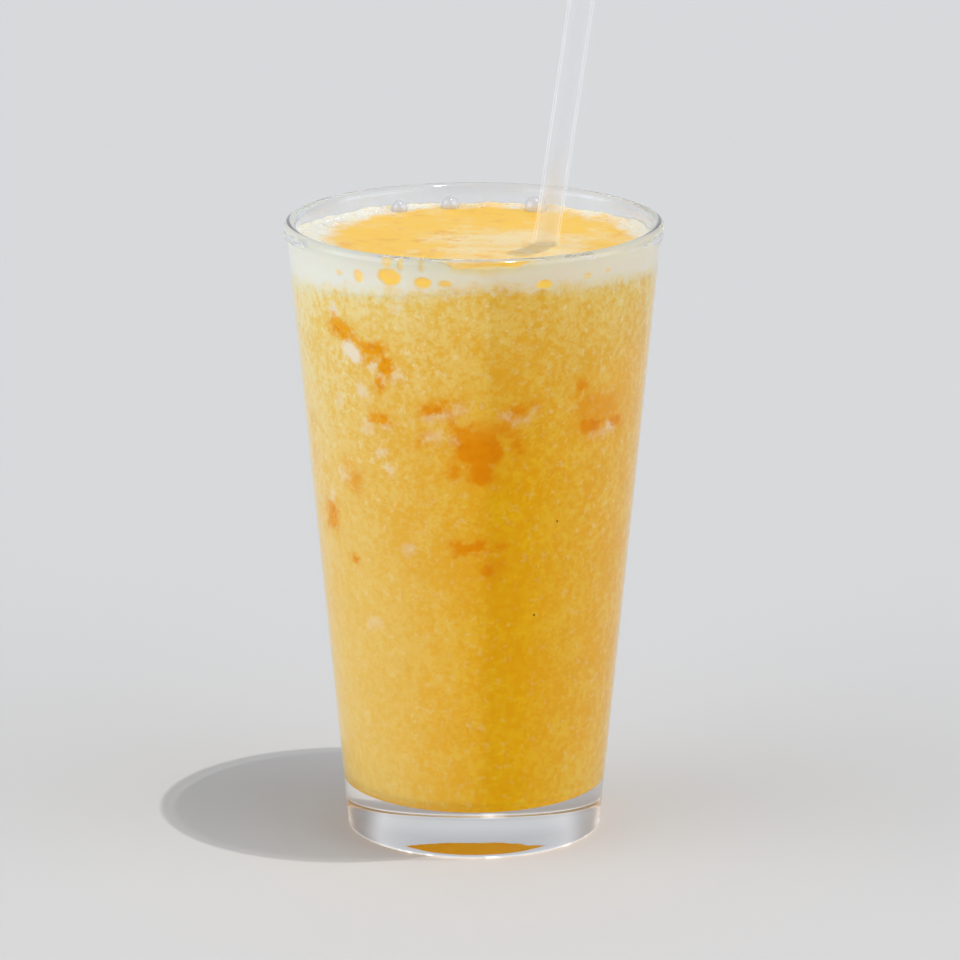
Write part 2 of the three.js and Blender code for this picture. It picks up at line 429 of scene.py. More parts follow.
def heel_glints(place, height):
    """Painted glints where the heel gathers light: brighter spots all round, and an even line at the front.
    """
    flat = follow("ShaderNodeVectorMath", {0: place, 1: (1, 1, 0)}, operation="MULTIPLY").outputs["Vector"]
    radius = measure("LENGTH", flat)
    low = fade(height, 1.2 * HEEL_RADIUS, 0.8 * HEEL_RADIUS)
    outside = fade(radius, outer_radius(0) - 1.2 * HEEL_RADIUS, outer_radius(0) - 0.8 * HEEL_RADIUS)
    spots = fade(noise(place, 4 * MM, 2), 0.5, 0.72, 0.0, 1.1)
    line = fade(coordinate(place, "Y"), 12 * MM, -4 * MM, 0.2, 0.5)
    return times(low, outside, total(line, spots))


def clear_glass():
    """Clear glass, glossier round its thick rim and a little greyer there, partly a tint of the thick glass
    and partly painted shade, and warmer in its thick base.
    """
    material, _, surface, place = new_material("clear_glass")
    height = coordinate(place, "Z")
    rim = fade(height, GLASS_HEIGHT - 3.5 * MM, GLASS_HEIGHT - 1.5 * MM)
    base = fade(height, FLOOR_HEIGHT + 2 * MM, FLOOR_HEIGHT - 2 * MM)
    tint = blend_colours(base, blend_colours(rim, GLASS_CLEAR, GLASS_RIM_TINT_AND_SHADE), GLASS_BASE)
    under_foot = fade(height, 1.6 * MM, 1.1 * MM)
    ripples = times(noise(place, FOOT_RIPPLE_SIZE, 2), under_foot)
    bump = follow("ShaderNodeBump", {"Height": ripples, "Strength": 1.0, "Distance": FOOT_RIPPLE_DEPTH})
    finish = {
        "Base Color": tint,
        "Roughness": 0.0,
        "IOR": GLASS_IOR,
        "Specular Tint": (0.1, 0.1, 0.1, 1),
        "Transmission Weight": 1.0,
        "Coat Weight": rim,
        "Coat Roughness": 0.1,
        "Normal": bump.outputs[0],
    }
    fill(surface.inputs, finish)
    glow(surface, heel_glints(place, height), HEEL_LIGHT)
    at_rim = fade(height, GLASS_HEIGHT - 2.6 * MM, GLASS_HEIGHT - 1.8 * MM)
    let_lamps_through(surface, blend_colours(at_rim, LAMPS_BELOW_RIM, LAMPS_AT_RIM))
    return material


def wall_corners(radius_at, low, high):
    """Points along a straight wall, which keep its shading straight."""
    return [(radius_at(height), height, 0) for height in np.linspace(low, high, WALL_STEPS)]


def foot_hollow():
    """The shallow cone under the foot, from its rounded crown to its edge."""
    cone_height = (FOOT_HOLLOW_RADIUS - FOOT_CROWN_RADIUS) * FOOT_HOLLOW_SLOPE
    crown_rise = FOOT_CROWN_RADIUS / 2 * FOOT_HOLLOW_SLOPE
    shares = np.linspace(0, 1, 8)
    crown = [(FOOT_CROWN_RADIUS * share, cone_height + crown_rise * (1 - share**2), 0) for share in shares]
    cone = np.linspace(FOOT_CROWN_RADIUS, FOOT_HOLLOW_RADIUS, 6)[1:]
    return [*crown, *[(radius, (FOOT_HOLLOW_RADIUS - radius) * FOOT_HOLLOW_SLOPE, 0) for radius in cone]]


def beaded_rim():
    """The outer wall's swell under the rim, then a half round over the top to the inner wall."""
    start, end = GLASS_HEIGHT - BEAD_HEIGHT, GLASS_HEIGHT - RIM_ROUND
    swell = []
    for share in np.linspace(0, 1, 12)[:-1]:
        height = start + (end - start) * share
        swell.append((outer_radius(height) + RIM_BEAD * share**2 * (3 - 2 * share), height, 0))
    middle = inner_radius(end) + RIM_ROUND
    turns = np.linspace(0, math.pi, 2 * CORNER_STEPS + 1)
    crest = [(middle + RIM_ROUND * math.cos(turn), end + RIM_ROUND * math.sin(turn), 0) for turn in turns]
    return [*swell, *crest]


def tumbler():
    corners = [
        *foot_hollow(),
        (outer_radius(0), 0, HEEL_RADIUS),
        *wall_corners(outer_radius, 4 * MM, GLASS_HEIGHT - BEAD_HEIGHT - 1 * MM),
        *beaded_rim(),
        *wall_corners(inner_radius, GLASS_HEIGHT - RIM_ROUND - 1.5 * MM, FLOOR_HEIGHT + 6 * MM),
        (inner_radius(FLOOR_HEIGHT), FLOOR_HEIGHT, FLOOR_CORNER_RADIUS),
        (FOOT_HOLLOW_RADIUS * 0.5, FLOOR_HEIGHT, 0),
        (0, FLOOR_HEIGHT, 0),
    ]
    return turned("tumbler_glass", corners, GLASS_SEGMENTS, clear_glass())


# The juice, with pieces of pulp that lie against the glass

# JUICE_BODY, PULP_PALE, SAC_LIGHT and FROTH_WHITE are the colours where the juice is palest, which is partly
# painted light on its sides
JUICE_DEEP = paint(243, 176, 0)
JUICE_BODY = paint(251, 217, 108)
JUICE_LIGHT = paint(248, 200, 8)
PULP_PALE = paint(253, 237, 184)
SAC_ORANGE = paint(240, 150, 0)
SAC_LIGHT = paint(255, 184, 0)
SAC_DEEP = paint(236, 144, 0)
SKIN_PALE = paint(252, 244, 232)
FROTH_WARM = paint(255, 232, 188)
FROTH_WHITE = paint(248, 246, 234)
SPECK_BROWN = paint(92, 66, 20)

# Juice sacs as the photo shows them through the wall: place across and down, length and width (its pixels),
# tilt (degrees, up to the right), and how near the glass each lies
SHOWN_SACS = [
    (340, 328, 25.5, 12.5, -38, 1.0),
    (356, 339.5, 16.5, 6, -42, 0.8),
    (373.5, 349.5, 22, 12.5, -5, 1.0),
    (370, 358.5, 9, 8, 0, 0.8),
    (385, 366, 18, 14, 59, 1.0),
    (380, 385, 12, 8, 85, 0.9),
    (379.5, 418.5, 19, 8, -15, 0.95),
    (433, 409.5, 26, 9.5, 8, 0.9),
    (455, 404, 8, 6.5, 0, 0.6),
    (517.5, 411, 18, 13, 5, 0.75),
    (533, 403.5, 10.5, 8, 70, 0.6),
    (481, 472.5, 24, 23, 90, 1.0),
    (480, 452, 46, 27.5, 0, 0.95),
    (464.5, 435, 22, 16.5, 0, 0.8),
    (482.5, 437, 26.5, 14.5, 0, 0.75),
    (495.5, 430.5, 32.5, 13, 15, 0.65),
    (455, 472.5, 17, 10.5, 80, 0.75),
    (517, 444.5, 10.5, 8.5, 70, 0.75),
    (512.5, 435, 8.5, 7.5, 0, 0.65),
    (452, 424, 9.5, 8.5, 0, 0.7),
    (420.5, 440, 19, 6.5, 60, 0.6),
    (457.5, 545, 12.5, 7, 5, 0.85),
    (468.5, 549, 22, 9, 10, 1.0),
    (478.5, 546, 11.5, 10, 50, 0.95),
    (486, 552, 8.5, 7, 0, 0.75),
    (501.5, 546, 13, 6.5, 20, 0.75),
    (488.5, 570, 16, 14, 80, 0.7),
    (500.5, 562, 11, 7, 0, 0.55),
    (590.5, 425, 22, 12, 12, 1.0),
    (604, 415, 9.5, 10.5, 0, 0.95),
    (615.5, 419.5, 11.5, 9, 0, 0.9),
    (582, 387, 10, 11, 0, 0.9),
    (579, 409, 9, 5, 90, 0.7),
    (598.5, 407, 37, 28, 0, 0.52),
    (356, 482, 19.5, 12, 78, 0.6),
    (333, 515, 27, 7.5, -86, 1.0),
    (328, 507, 10.5, 2.5, 86, 0.6),
    (315, 455, 19.5, 3.5, -85, 0.35),
    (356, 558, 10, 4, -38, 0.9),
    (349, 463, 8, 6, 0, 0.5),
]
# Pale skins of such sacs, in the same terms
SHOWN_SKINS = [
    (352, 352, 23.5, 12.5, -44, 1.0),
    (373.5, 367.5, 9, 5, 60, 0.8),
    (382.5, 379, 6.5, 5, 0, 0.6),
    (362.5, 391, 11.5, 6.5, -45, 0.6),
    (367.5, 427, 11, 9, 0, 0.45),
    (386, 426, 9, 4, -10, 0.4),
    (334, 310, 14, 6.5, -75, 0.8),
    (440, 416.5, 36, 5, 8, 0.45),
    (460, 409.5, 8.5, 7.5, 0, 0.4),
    (433, 436, 16, 7, 10, 0.42),
    (455, 440, 6.5, 5, 0, 0.4),
    (506.5, 416.5, 7, 6, 0, 0.45),
    (519, 420, 22, 4, 0, 0.38),
    (533, 412, 11.5, 3.5, 45, 0.35),
    (609, 426.5, 8, 6.5, 0, 0.6),
    (598.5, 433, 20, 4, 8, 0.38),
    (332, 495.5, 12.5, 4, 77, 0.4),
    (409, 549.5, 11, 9, 49, 0.4),
    (375, 623, 15, 10.5, 12, 0.35),
    (396.5, 377, 12.5, 6.5, 50, 0.6),
    (381.5, 453.5, 10, 6.5, 20, 0.5),
    (343.5, 474, 12.5, 5.5, -60, 0.5),
    (388, 468.5, 10, 4.5, -60, 0.5),
    (340, 399.5, 7.5, 5, 60, 0.5),
    (396.5, 308, 10, 6, 30, 0.5),
]
# Clumps of like pieces on the side that the view doesn't show, in millimetres
HIDDEN_SAC_CLUMPS = 14
HIDDEN_CLUMP_HEIGHTS = (45, 130)
HIDDEN_SAC_LENGTHS = (2.5, 7)
HIDDEN_SKIN_LENGTHS = (3, 7)
HIDDEN_SKIN_WIDTHS = (1.2, 2.4)
HIDDEN_SKIN_DROP = 3.5
CRUMB_SIZES = (0.5, 1.4)
SPECKS = [(31.9, 83.5), (24.1, 60.8)]  # azimuth and height (mm) of two dark specks
SPECK_RADIUS = 0.32 * MM
UNDERSIDE_GLOW = 0.24
UNDERSIDE_LIGHT = paint(255, 172, 30)
JUICE_COLUMNS = 360
JUICE_WALL_ROWS = 236


def meet_cone(start, way, foot_radius, taper):
    """Where a line first meets a cone about the vertical axis."""
    radius = foot_radius + taper * start.z
    a = way.x**2 + way.y**2 - (taper * way.z) ** 2
    b = way.x * start.x + way.y * start.y - radius * taper * way.z
    c = start.x**2 + start.y**2 - radius**2
    return start + way * ((-b - math.sqrt(b * b - a * c)) / a)


def seen_through_wall(across, down):
    """The azimuth and height (mm) on the inner wall of what a pixel of the photo shows, bent by the glass."""
    right, up = (across - PHOTO_SIDE / 2) * PHOTO_PIXEL, (PHOTO_SIDE / 2 - down) * PHOTO_PIXEL
    way = (VIEW_TARGET + Vector((right, 0, 0)) + VIEW_UP * up - VIEW_EYE).normalized()
    outside = meet_cone(VIEW_EYE, way, FOOT_RADIUS, GLASS_TAPER)
    normal = Vector((outside.x, outside.y, -GLASS_TAPER * math.hypot(outside.x, outside.y))).normalized()
    square = -way.dot(normal)
    bent = way / GLASS_IOR + normal * (square / GLASS_IOR - math.sqrt(1 - (1 - square**2) / GLASS_IOR**2))
    inside = meet_cone(outside, bent, inner_radius(0), INNER_TAPER)
    return math.degrees(math.atan2(inside.x, -inside.y)), inside.z / MM


def span_on_wall(across, down, size, lean):
    """The length (mm) and tilt on the wall of a line that has this size (pixels) and lean in the photo."""
    step_across, step_up = size / 2 * math.cos(lean), size / 2 * math.sin(lean)
    azimuth, height = seen_through_wall(across - step_across, down + step_up)
    other_azimuth, other_height = seen_through_wall(across + step_across, down - step_up)
    run = math.radians(other_azimuth - azimuth) * inner_radius(height * MM) / MM
    rise = other_height - height
    return math.hypot(run, rise), math.degrees(math.atan2(rise, run))


def lying_on_wall(across, down, length, width, tilt, depth):
    """A piece of the photo as it lies on the wall: azimuth, height, length, width (mm), tilt and depth."""
    lean = math.radians(tilt)
    long, slant = span_on_wall(across, down, length, lean)
    short, short_slant = span_on_wall(across, down, width, lean + math.pi / 2)
    if short > long:
        long, short, slant = short, long, short_slant
    return (*seen_through_wall(across, down), long, short, slant, depth)


def pulp_pieces():
    """The sacs and skins that the front shows, and clumps of like ones drawn round the rest of the glass."""
    draw = np.random.default_rng(SEED)
    sacs = [lying_on_wall(*piece) for piece in SHOWN_SACS]
    skins = [lying_on_wall(*piece) for piece in SHOWN_SKINS]
    for _ in range(HIDDEN_SAC_CLUMPS):
        azimuth, height = draw.uniform(*HIDDEN_SIDE), draw.uniform(*HIDDEN_CLUMP_HEIGHTS)
        tilt = draw.uniform(-60, 80)
        for _ in range(draw.integers(1, 5)):
            length = draw.uniform(*HIDDEN_SAC_LENGTHS)
            width = length * draw.uniform(0.35, 0.6)
            place = (azimuth + draw.normal(0, 4), height + draw.normal(0, 3))
            sacs.append((*place, length, width, tilt + draw.normal(0, 25), draw.uniform(0.4, 1)))
        skin = (draw.uniform(*HIDDEN_SKIN_LENGTHS), draw.uniform(*HIDDEN_SKIN_WIDTHS))
        skins.append((azimuth, height - HIDDEN_SKIN_DROP, *skin, tilt, draw.uniform(0.4, 0.9)))
    return [*sacs, *crumbs_round(sacs, draw)], skins


def crumbs_round(sacs, draw):
    """Small grains along each sac's edge, which make its outline ragged."""
    crumbs = []
    for azimuth, height, length, width, tilt, strength in sacs:
        lean = math.radians(tilt)
        for _ in range(int(2 * (length + width))):
            along, beside = draw.uniform(-0.55, 0.55) * length, draw.uniform(-0.62, 0.62) * width
            across = along * math.cos(lean) - beside * math.sin(lean)
            up = along * math.sin(lean) + beside * math.cos(lean)
            turn = math.degrees(across * MM / inner_radius(height * MM))
            size = draw.uniform(*CRUMB_SIZES)
            place = (azimuth + turn, height + up)
            crumbs.append((*place, 1.3 * size, size, draw.uniform(-90, 90), strength * draw.uniform(0.4, 1)))
    return crumbs


def nearest_piece(pieces, azimuth, height):
    """How far each point of the wall lies outside the nearest piece's edge, and that piece's depth."""
    nearest, depth = np.full(azimuth.shape, 20 * MM), np.zeros(azimuth.shape)
    for middle, level, length, width, tilt, strength in pieces:
        across = np.radians(turn_between(azimuth, middle)) * inner_radius(height)
        up = height - level * MM
        lean = math.radians(tilt)
        along = across * math.cos(lean) + up * math.sin(lean)
        beside = up * math.cos(lean) - across * math.sin(lean)
        past_end = np.abs(along) - (length - width) / 2 * MM
        distance = np.hypot(np.maximum(past_end, 0), beside) - width / 2 * MM
        closer = distance < nearest
        nearest[closer], depth[closer] = distance[closer], strength
    return nearest, depth


def froth_foot(azimuth):
    """The height where the froth on the wall begins to show."""
    turn = np.radians(azimuth)
    waves = 1.8 * np.cos(turn - math.radians(20)) + np.cos(2 * (turn - math.radians(15)))
    return FROTH_FOOT_HEIGHT + (waves + 0.9 * hump(azimuth, 2, 16)) * MM


def paleness(azimuth, height):
    """How pale the juice looks: more so near the top, on the left and on the right. It is partly pale pulp
    against the glass and partly painted light, lighter sides that stand in for the glass's reflections and
    the fill on the left.
    """
    right = np.clip(np.sin(np.radians(azimuth - 20)), 0, 1)
    top = np.clip((height - 90 * MM) / (48 * MM), 0, 1) ** 1.5
    return np.clip(0.02 + 0.58 * leftness(azimuth) + 0.3 * right + 0.34 * top, 0, 1)


def fleckiness(azimuth, height):
    """How strongly the flecks stand out: less low down, and least there on the left."""
    top = np.clip((height - 60 * MM) / (60 * MM), 0, 1)
    return 1 - (0.2 + 0.45 * leftness(azimuth)) * (1 - top)


def under_froth(azimuth, edge, shares):
    """Rows between the juice and the froth, at shares of the way from the axis to the edge on the wall."""
    middle = DRINK_LEVEL - FROTH_DEPTH_MIDDLE
    return [ring_points(inner_radius(edge) * s, azimuth, middle + (edge - middle) * s**6) for s in shares]


def juice_skin():
    """Rows from the axis along the floor, round its corner, up the wall and back under the froth."""
    azimuth = np.linspace(0, 360, JUICE_COLUMNS, endpoint=False)
    floor = FLOOR_HEIGHT - JUICE_REACH
    corner = FLOOR_CORNER_RADIUS + JUICE_REACH
    corner_middle = FLOOR_HEIGHT + FLOOR_CORNER_RADIUS
    corner_radius = inner_radius(corner_middle) - FLOOR_CORNER_RADIUS * math.hypot(1, INNER_TAPER)
    rows = [ring_points(share * corner_radius, azimuth, floor) for share in (0, 0.4, 0.8)]
    for turn in np.linspace(-math.pi / 2, -math.atan(INNER_TAPER), 12):
        height = corner_middle + corner * math.sin(turn)
        rows.append(ring_points(corner_radius + corner * math.cos(turn), azimuth, height))
    start = rows[-1][0, 2]
    top = froth_foot(azimuth)
    for share in np.linspace(0, 1, JUICE_WALL_ROWS)[1:]:
        height = start + (top - start) * share
        rows.append(ring_points(inner_radius(height) + JUICE_REACH, azimuth, height))
    return np.stack([*rows, *under_froth(azimuth, top, (0.9, 0.5, 0))])


def pulp_look():
    """Pulpy juice seen through glass: dense fine flecks, which go over into froth above its lower edge."""
    inputs = {"Place": "Vector", "Pale Pulp And Painted Light": "Float", "Fleckiness": "Float", "Above Foot": "Float"}
    tree, given, result = node_group("pulp_look", "ShaderNodeTree", inputs, {"Color": "Color"})
    # pale is how pale the juice is here, partly pale pulp and partly painted light on the sides
    place, pale = given["Place"], given["Pale Pulp And Painted Light"]
    coarse = times(noise(place, 1.8 * MM, 3, 0.55), 0.7)
    grain = calculate("MULTIPLY_ADD", noise(place, 0.7 * MM, 1), 0.3, coarse)
    patches = noise(place, 7 * MM, 4, 0.6)
    veils = noise(place, 26 * MM, 1)
    lift = calculate("MULTIPLY_ADD", patches, 0.46, -0.23)
    drift = calculate("MULTIPLY_ADD", veils, 0.26, -0.13)
    density = total(grain, lift, drift, times(pale, 0.10))
    spread = calculate("SUBTRACT", fade(density, 0.38, 0.70), 0.45)
    flecks = calculate("MULTIPLY_ADD", spread, given["Fleckiness"], 0.45)
    ground = blend_colours(pale, JUICE_DEEP, JUICE_BODY)
    fleck_colour = blend_colours(pale, JUICE_LIGHT, PULP_PALE)
    juice_colour = blend_colours(flecks, ground, fleck_colour)
    bright = fade(noise(place, 2.0 * MM, 4, 0.6), 0.55, 0.70)
    veins = times(bright, total(pale, 0.13), given["Fleckiness"])
    juice_colour = blend_colours(veins, juice_colour, PULP_PALE)
    bays, tatters = wander(place, 3.4 * MM, 1.5 * MM), wander(place, 1.2 * MM, 0.9 * MM)
    cover = fade(total(given["Above Foot"], bays, tatters), -2.8 * MM, 2.8 * MM)
    froth_colour = blend_colours(times(pale, 1.25), FROTH_WARM, FROTH_WHITE)
    fill(result, {"Color": blend_colours(cover, juice_colour, froth_colour)})
    return tree


PULP_LOOK = pulp_look()


# Light that soaks into the drink and comes out again near by
DRINK_SOAK = {
    "Subsurface Weight": 0.35,
    "Subsurface Radius": (1.0, 0.6, 0.15),
    "Subsurface Scale": 1.5 * MM,
}


def pulp_colour(tree, place):
    """The pulp's colour from what the mesh carries, as carry_pulp gives it."""
    look = {
        "Place": place,
        "Pale Pulp And Painted Light": attribute(tree, "paleness"),
        "Fleckiness": attribute(tree, "fleckiness"),
        "Above Foot": attribute(tree, "above_foot"),
    }
    return add(tree, "ShaderNodeGroup", look, node_tree=PULP_LOOK).outputs["Color"]


def lying_at_wall(tree, name, edge):
    """The cover of one kind of pulp piece: crisp where it touches the glass and soft where it lies deeper."""
    near = attribute(tree, name + "_depth")
    softness = calculate("MULTIPLY_ADD", near, -1.2 * MM, 2.1 * MM)
    ragged = times(edge, fade(near, 0.6, 1.0, 1.0, 0.6))
    out = calculate("DIVIDE", total(attribute(tree, name), ragged), softness)
    return times(fade(out, 1.0, -0.8), fade(near, 0.0, 1.0))


def pulpy_juice():
    """Juice with skins and threaded sacs at the wall, bare of flecks round each sac, and two dark specks."""
    material, tree, surface, place = new_material("pulpy_juice")
    # pale is how pale the juice is here, partly pale pulp and partly painted light on the sides
    pale = attribute(tree, "paleness")
    near_sac = fade(attribute(tree, "sac"), 5 * MM, 0, 0, 0.5)
    halo = times(near_sac, attribute(tree, "sac_depth"))
    bare_juice = blend_colours(pale, JUICE_DEEP, JUICE_BODY)
    colour = blend_colours(halo, pulp_colour(tree, place), bare_juice)
    edge = total(wander(place, 2.0 * MM, 0.7 * MM), wander(place, 0.8 * MM, 0.9 * MM))
    torn = total(wander(place, 1.5 * MM, 1.0 * MM), wander(place, 0.6 * MM, 0.5 * MM))
    skin = times(lying_at_wall(tree, "skin", torn), 0.85)
    colour = blend_colours(skin, colour, SKIN_PALE)
    grains = fade(noise(place, 1.2 * MM, 3, 0.6), 0.36, 0.6, 0.86, 1.0)
    sac = times(lying_at_wall(tree, "sac", edge), grains)
    threads = fade(noise(place, 1.6 * MM, 3, 0.6), 0.45, 0.65, 0.0, 0.8)
    sac_colour = blend_colours(threads, blend_colours(pale, SAC_ORANGE, SAC_LIGHT), SAC_DEEP)
    colour = blend_colours(sac, colour, sac_colour)
    for azimuth, height in SPECKS:
        middle = ring_points(inner_radius(height * MM) + JUICE_REACH, azimuth, height * MM)
        speck = fade(measure("DISTANCE", place, tuple(middle)), SPECK_RADIUS, 0.5 * SPECK_RADIUS)
        colour = blend_colours(speck, colour, SPECK_BROWN)
    finish = {"Base Color": colour, "Roughness": 0.5, "Specular IOR Level": 0.0, **DRINK_SOAK}
    fill(surface.inputs, finish)
    glow(surface, times(attribute(tree, "under"), UNDERSIDE_GLOW), UNDERSIDE_LIGHT)
    return material


def carry_pulp(mesh, azimuth, height):
    """Gives a mesh what the pulp's look reads: how pale (partly painted light on the sides), how flecky, and
    how far above the froth's edge.
    """
    set_attributes(
        mesh,
        paleness=paleness(azimuth, height),
        fleckiness=fleckiness(azimuth, height),
        above_foot=height - froth_foot(azimuth),
    )


def juice():
    mesh = closed_skin("juice_body", juice_skin())
    points = mesh_points(mesh)
    azimuth, height = azimuths(points), points[:, 2]
    sacs, skins = pulp_pieces()
    for name, pieces in (("sac", sacs), ("skin", skins)):
        distance, depth = nearest_piece(pieces, azimuth, height)
        set_attributes(mesh, **{name: distance, name + "_depth": depth})
    carry_pulp(mesh, azimuth, height)
    set_attributes(mesh, under=np.clip(1 - (height - FLOOR_HEIGHT) / FLOOR_CORNER_RADIUS * 2, 0, 1))
    return new_object("juice_body", mesh, pulpy_juice())


# The froth

FROTH_COLUMNS = 640
FROTH_WALL_ROWS = 34
FROTH_TOP_ROWS = 48
COLLAR_HEIGHT = 147.2 * MM
COLLAR_STEPS = (0.12, 0.3, 0.55, 0.9, 1.4, 2.0, 2.8, 3.8, 5.0)  # rows over the collar, in from its lip (mm)
SURFACE_JUICE = paint(236, 184, 14)
SURFACE_FILM = paint(231, 205, 146)
SURFACE_DEEP = paint(226, 160, 8)
FRONT_FILM = paint(255, 230, 170)
PALE_MIDDLE = (9 * MM, -6 * MM, DRINK_LEVEL)  # a paler film floats round here
PALE_REACH = 34 * MM
RING_FROTH = paint(224, 228, 223)
WINDOW_JUICE = paint(250, 204, 82)
SWELL_HEIGHT = 0.05 * MM
CLING_HEIGHT = 0.7 * MM
CLING_REACH = 0.7 * MM
FOAM_CELL = 0.9 * MM

# Clear windows in the froth on the wall: azimuth, height, half width and half height (mm), and clearness
SHOWN_WINDOWS = [
    (-27.0, 143.5, 3.0, 2.3, 1.0),
    (-38.6, 142.7, 1.5, 1.8, 0.75),
    (-46.7, 142.6, 1.0, 0.9, 0.45),
    (-16.0, 142.7, 2.1, 1.5, 0.95),
    (-9.0, 142.7, 1.5, 0.9, 0.8),
    (22.5, 141.7, 1.8, 1.5, 0.95),
    (38.0, 142.8, 1.1, 0.9, 0.55),
    (46.3, 143.3, 1.0, 0.9, 0.4),
    (-27.6, 146.6, 1.3, 0.7, 0.7),
    (-23.2, 146.3, 0.8, 0.8, 0.6),
    (-16.2, 146.4, 0.7, 1.0, 0.45),
]
HIDDEN_WINDOWS = 14
WINDOW_DEPTH = 0.6 * MM
WINDOW_GLOW = 0.3


def froth_windows():
    draw = np.random.default_rng(SEED + 1)
    windows = list(SHOWN_WINDOWS)
    for _ in range(HIDDEN_WINDOWS):
        half = draw.uniform(0.7, 2.2)
        place = (draw.uniform(*HIDDEN_SIDE), draw.uniform(141.6, 143.4))
        windows.append((*place, half, half * draw.uniform(0.7, 0.9), draw.uniform(0.4, 1)))
    return windows


def window_reach(azimuth, height):
    """How far each point lies from the nearest window's middle, in shares of its size, and its clearness."""
    nearest, depth = np.full(azimuth.shape, 3.0), np.zeros(azimuth.shape)
    for middle, level, half_width, half_height, clearness in froth_windows():
        across = np.radians(turn_between(azimuth, middle)) * inner_radius(height) / (half_width * MM)
        up = (height - level * MM) / (half_height * MM)
        share = np.hypot(across, up)
        closer = share < nearest
        nearest[closer], depth[closer] = share[closer], clearness
    return nearest, depth


def collar_top(azimuth):
    """How high thick froth has climbed the wall: low at the front and the back, higher at both sides."""
    dip, back = 1.2 * hump(azimuth, 4, 12), 3.2 * backness(azimuth)
    turn = np.radians(azimuth)
    ragged = 0.22 * np.sin(7 * turn + 1) + 0.16 * np.sin(17 * turn) + 0.1 * np.sin(41 * turn + 2)
    return COLLAR_HEIGHT + (ragged - dip - back) * MM


def ring_width(azimuth):
    """How far the pale ring of froth reaches in from the wall: far on the left, less at the front."""
    turn = np.radians(azimuth)
    return (3.5 + 0.25 * np.cos(turn) - 1.75 * np.sin(turn) - 1.75 * np.cos(2 * turn)) * MM


def surface_swell(x, y):
    """Low swells on the drink's top, and its rise where it clings to the straw."""
    crossways = np.sin(x / (4.1 * MM) + 1.7 * np.sin(y / (6.3 * MM)))
    swell = SWELL_HEIGHT * crossways * np.sin(y / (3.7 * MM) + x / (9 * MM))
    from_straw = np.hypot(x - STRAW_ENTRY.x, y - STRAW_ENTRY.y) - STRAW_RADIUS
    return swell + CLING_HEIGHT * np.exp(-np.maximum(from_straw, 0) / CLING_REACH)


def surface_height(azimuth, inset):
    """The height of the froth's top at this distance in from the wall, with its climb up the wall."""
    run = (0.5 + 0.16 * ring_width(azimuth) / MM) * MM
    climb = (collar_top(azimuth) - DRINK_LEVEL) * np.exp(-np.maximum(inset - FROTH_LIP, 0) / run)
    place = ring_points(inner_radius(DRINK_LEVEL) - inset, azimuth, 0)
    return DRINK_LEVEL + climb + surface_swell(place[..., 0], place[..., 1]) * np.minimum(inset / (6 * MM), 1)


def froth_skin():
    """Rows from the axis along the underside, up the wall, over the collar's lip and back along the top."""
    azimuth = np.linspace(0, 360, FROTH_COLUMNS, endpoint=False)
    foot, top = froth_foot(azimuth) - FROTH_OVERLAP, collar_top(azimuth)
    rows = under_froth(azimuth, foot, (0, 0.4, 0.75, 0.95, 0.999))
    for share in (0.002, *np.linspace(0, 1, FROTH_WALL_ROWS)[1:]):
        height = foot + (top - foot) * share
        window, clearness = window_reach(azimuth, height)
        hollow = WINDOW_DEPTH * clearness * np.sqrt(np.clip(1 - window**2, 0, 1))
        reach = np.minimum(JUICE_REACH / 2 + FROTH_REACH * (height - foot) / (1.4 * MM), FROTH_REACH)
        rows.append(ring_points(inner_radius(height) + reach - hollow, azimuth, height))
    wall_end = len(rows)
    for step in COLLAR_STEPS:
        inset = FROTH_LIP + step * MM
        height = surface_height(azimuth, inset)
        rows.append(ring_points(inner_radius(height) - inset, azimuth, height))
    edge = inner_radius(DRINK_LEVEL) - FROTH_LIP - COLLAR_STEPS[-1] * MM
    for share in np.linspace(1, 0, FROTH_TOP_ROWS)[1:]:
        inset = inner_radius(DRINK_LEVEL) - edge * share
        rows.append(ring_points(edge * share, azimuth, surface_height(azimuth, inset)))
    rows[-1][:] = rows[-1][:1]
    return np.stack(rows), wall_end


def foam_cells():
    """Small foam bubbles: a mask that is pale inside each cell, and its height."""
    inputs, outputs = {"Place": "Vector", "Cell Size": "Float"}, {"Cells": "Float", "Height": "Float"}
    tree, given, result = node_group("foam_cells", "ShaderNodeTree", inputs, outputs)
    scale = calculate("DIVIDE", 1.0, given["Cell Size"])
    cells = {"Vector": given["Place"], "Scale": scale, "Randomness": 1.0}
    distance = follow("ShaderNodeTexVoronoi", cells, feature="F1").outputs["Distance"]
    fill(result, {"Cells": fade(distance, 0.62, 0.2), "Height": fade(distance, 0.75, 0.0)})
    return tree


FOAM_CELLS = foam_cells()


